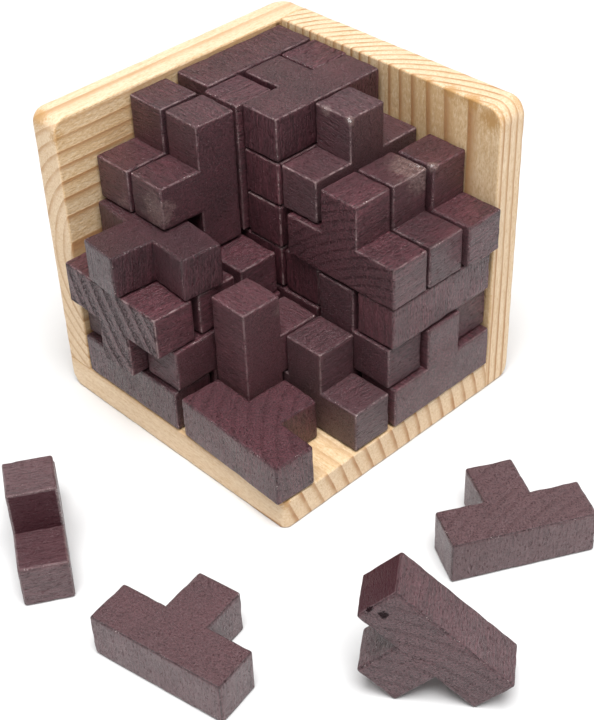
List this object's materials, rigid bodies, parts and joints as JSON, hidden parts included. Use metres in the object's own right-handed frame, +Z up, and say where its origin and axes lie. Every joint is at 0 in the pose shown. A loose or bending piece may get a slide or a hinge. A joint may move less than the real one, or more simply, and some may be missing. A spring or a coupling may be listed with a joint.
{
  "type": "packing puzzle",
  "caption": "Cube packing puzzle: T-shaped wooden blocks stacked in a corner tray of three boards, with loose blocks beside it.",
  "frame": {"origin": "middle of the underside of the tray's floor board, on the table", "axes": "+Z up; the tray's left wall is towards -X and its back wall towards +Y; it is open to +X, -Y and the top"},
  "size_m": [0.1405, 0.1274, 0.075],
  "materials": {
    "pine_boards": "satin, bare pine",
    "plum_blocks": "satin, dark plum stain"
  },
  "bodies": {
    "tray": {"floor_board": "pine_boards", "left_wall": "pine_boards", "back_wall": "pine_boards"},
    "t_block_01": {"t_block_01": "plum_blocks"},
    "t_block_02": {"t_block_02": "plum_blocks"},
    "t_block_03": {"t_block_03": "plum_blocks"},
    "t_block_04": {"t_block_04": "plum_blocks"},
    "t_block_05": {"t_block_05": "plum_blocks"},
    "t_block_06": {"t_block_06": "plum_blocks"},
    "t_block_07": {"t_block_07": "plum_blocks"},
    "t_block_08": {"t_block_08": "plum_blocks"},
    "t_block_09": {"t_block_09": "plum_blocks"},
    "t_block_10": {"t_block_10": "plum_blocks"},
    "t_block_11": {"t_block_11": "plum_blocks"},
    "t_block_12": {"t_block_12": "plum_blocks"},
    "t_block_13": {"t_block_13": "plum_blocks"},
    "t_block_14": {"t_block_14": "plum_blocks"},
    "t_block_15": {"t_block_15": "plum_blocks"},
    "t_block_16": {"t_block_16": "plum_blocks"},
    "t_block_17": {"t_block_17": "plum_blocks"},
    "t_block_18": {"t_block_18": "plum_blocks"},
    "t_block_19": {"t_block_19": "plum_blocks"},
    "t_block_20": {"t_block_20": "plum_blocks"},
    "t_block_21": {"t_block_21": "plum_blocks"},
    "t_block_22": {"t_block_22": "plum_blocks"},
    "t_block_23": {"t_block_23": "plum_blocks"},
    "t_block_24": {"t_block_24": "plum_blocks"},
    "t_block_25": {"t_block_25": "plum_blocks"},
    "t_block_26": {"t_block_26": "plum_blocks"},
    "core_block_01": {"core_block_01": "plum_blocks"},
    "core_block_02": {"core_block_02": "plum_blocks"},
    "core_block_03": {"core_block_03": "plum_blocks"},
    "core_block_04": {"core_block_04": "plum_blocks"},
    "core_block_05": {"core_block_05": "plum_blocks"},
    "core_block_06": {"core_block_06": "plum_blocks"},
    "core_block_07": {"core_block_07": "plum_blocks"},
    "core_block_08": {"core_block_08": "plum_blocks"},
    "core_block_09": {"core_block_09": "plum_blocks"},
    "core_block_10": {"core_block_10": "plum_blocks"},
    "core_block_11": {"core_block_11": "plum_blocks"},
    "loose_block_1": {"loose_block_1": "plum_blocks"},
    "loose_block_2": {"loose_block_2": "plum_blocks"},
    "loose_block_3": {"loose_block_3": "plum_blocks"},
    "loose_block_4": {"loose_block_4": "plum_blocks"}
  },
  "joints": [
    {"name": "t_block_01_lift", "type": "slide", "parent": "t_block_03", "child": "t_block_01", "axis": [0, 0, 1], "range_m": [0, 0.0277]},
    {"name": "t_block_02_lift", "type": "slide", "parent": "t_block_08", "child": "t_block_02", "axis": [0, 0, 1], "range_m": [0, 0.0167]},
    {"name": "t_block_03_lift", "type": "slide", "parent": "t_block_04", "child": "t_block_03", "axis": [0, 0, 1], "range_m": [0, 0.0387]},
    {"name": "t_block_04_lift", "type": "slide", "parent": "core_block_09", "child": "t_block_04", "axis": [0, 0, 1], "range_m": [0, 0.0387]},
    {"name": "t_block_05_lift", "type": "slide", "parent": "t_block_10", "child": "t_block_05", "axis": [0, 0, 1], "range_m": [0, 0.0277]},
    {"name": "t_block_06_lift", "type": "slide", "parent": "t_block_13", "child": "t_block_06", "axis": [0, 0, 1], "range_m": [0, 0.0387]},
    {"name": "t_block_07_lift", "type": "slide", "parent": "t_block_13", "child": "t_block_07", "axis": [0, 0, 1], "range_m": [0, 0.0387]},
    {"name": "t_block_08_lift", "type": "slide", "parent": "t_block_09", "child": "t_block_08", "axis": [0, 0, 1], "range_m": [0, 0.0277]},
    {"name": "t_block_09_lift", "type": "slide", "parent": "core_block_07", "child": "t_block_09", "axis": [0, 0, 1], "range_m": [0, 0.0387]},
    {"name": "t_block_10_lift", "type": "slide", "parent": "t_block_11", "child": "t_block_10", "axis": [0, 0, 1], "range_m": [0, 0.0387]},
    {"name": "t_block_11_lift", "type": "slide", "parent": "t_block_12", "child": "t_block_11", "axis": [0, 0, 1], "range_m": [0, 0.0387]},
    {"name": "t_block_12_lift", "type": "slide", "parent": "t_block_17", "child": "t_block_12", "axis": [0, 0, 1], "range_m": [0, 0.0387]},
    {"name": "t_block_13_lift", "type": "slide", "parent": "t_block_14", "child": "t_block_13", "axis": [0, 0, 1], "range_m": [0, 0.0387]},
    {"name": "t_block_14_lift", "type": "slide", "parent": "t_block_15", "child": "t_block_14", "axis": [0, 0, 1], "range_m": [0, 0.0607]},
    {"name": "t_block_15_lift", "type": "slide", "parent": "t_block_16", "child": "t_block_15", "axis": [0, 0, 1], "range_m": [0, 0.0607]},
    {"name": "t_block_16_lift", "type": "slide", "parent": "t_block_18", "child": "t_block_16", "axis": [0, 0, 1], "range_m": [0, 0.0607]},
    {"name": "t_block_17_lift", "type": "slide", "parent": "t_block_21", "child": "t_block_17", "axis": [0, 0, 1], "range_m": [0, 0.0497]},
    {"name": "t_block_18_lift", "type": "slide", "parent": "t_block_19", "child": "t_block_18", "axis": [0, 0, 1], "range_m": [0, 0.0717]},
    {"name": "t_block_19_lift", "type": "slide", "parent": "core_block_07", "child": "t_block_19", "axis": [0, 0, 1], "range_m": [0, 0.0717]},
    {"name": "t_block_20_lift", "type": "slide", "parent": "t_block_24", "child": "t_block_20", "axis": [0, 0, 1], "range_m": [0, 0.0717]},
    {"name": "t_block_21_lift", "type": "slide", "parent": "t_block_22", "child": "t_block_21", "axis": [0, 0, 1], "range_m": [0, 0.0717]},
    {"name": "t_block_22_lift", "type": "slide", "parent": "core_block_11", "child": "t_block_22", "axis": [0, 0, 1], "range_m": [0, 0.0717]},
    {"name": "t_block_23_lift", "type": "slide", "parent": "t_block_26", "child": "t_block_23", "axis": [0, 0, 1], "range_m": [0, 0.0717]},
    {"name": "t_block_24_lift", "type": "slide", "parent": "tray", "child": "t_block_24", "axis": [0, 0, 1], "range_m": [0, 0.0717]},
    {"name": "t_block_25_lift", "type": "slide", "parent": "tray", "child": "t_block_25", "axis": [0, 0, 1], "range_m": [0, 0.0717]},
    {"name": "t_block_26_lift", "type": "slide", "parent": "core_block_05", "child": "t_block_26", "axis": [0, 0, 1], "range_m": [0, 0.0717]},
    {"name": "core_block_01_lift", "type": "slide", "parent": "core_block_02", "child": "core_block_01", "axis": [0, 0, 1], "range_m": [0, 0.0717]},
    {"name": "core_block_02_lift", "type": "slide", "parent": "core_block_03", "child": "core_block_02", "axis": [0, 0, 1], "range_m": [0, 0.0717]},
    {"name": "core_block_03_lift", "type": "slide", "parent": "core_block_04", "child": "core_block_03", "axis": [0, 0, 1], "range_m": [0, 0.0717]},
    {"name": "core_block_04_lift", "type": "slide", "parent": "tray", "child": "core_block_04", "axis": [0, 0, 1], "range_m": [0, 0.0717]},
    {"name": "core_block_05_lift", "type": "slide", "parent": "core_block_06", "child": "core_block_05", "axis": [0, 0, 1], "range_m": [0, 0.0717]},
    {"name": "core_block_06_lift", "type": "slide", "parent": "core_block_08", "child": "core_block_06", "axis": [0, 0, 1], "range_m": [0, 0.0607]},
    {"name": "core_block_07_lift", "type": "slide", "parent": "core_block_10", "child": "core_block_07", "axis": [0, 0, 1], "range_m": [0, 0.0607]},
    {"name": "core_block_08_lift", "type": "slide", "parent": "core_block_01", "child": "core_block_08", "axis": [0, 0, 1], "range_m": [0, 0.0607]},
    {"name": "core_block_09_lift", "type": "slide", "parent": "t_block_18", "child": "core_block_09", "axis": [0, 0, 1], "range_m": [0, 0.0497]},
    {"name": "core_block_10_lift", "type": "slide", "parent": "core_block_11", "child": "core_block_10", "axis": [0, 0, 1], "range_m": [0, 0.0497]},
    {"name": "core_block_11_lift", "type": "slide", "parent": "t_block_23", "child": "core_block_11", "axis": [0, 0, 1], "range_m": [0, 0.0497]},
    {"name": "loose_block_1_lift", "type": "slide", "parent": "tray", "child": "loose_block_1", "axis": [0, 0, 1], "range_m": [0, 0.04]},
    {"name": "loose_block_2_lift", "type": "slide", "parent": "tray", "child": "loose_block_2", "axis": [0, 0, 1], "range_m": [0, 0.04]},
    {"name": "loose_block_3_lift", "type": "slide", "parent": "tray", "child": "loose_block_3", "axis": [0, 0, 1], "range_m": [0, 0.04]},
    {"name": "loose_block_4_lift", "type": "slide", "parent": "tray", "child": "loose_block_4", "axis": [0, 0, 1], "range_m": [0, 0.04]}
  ]
}
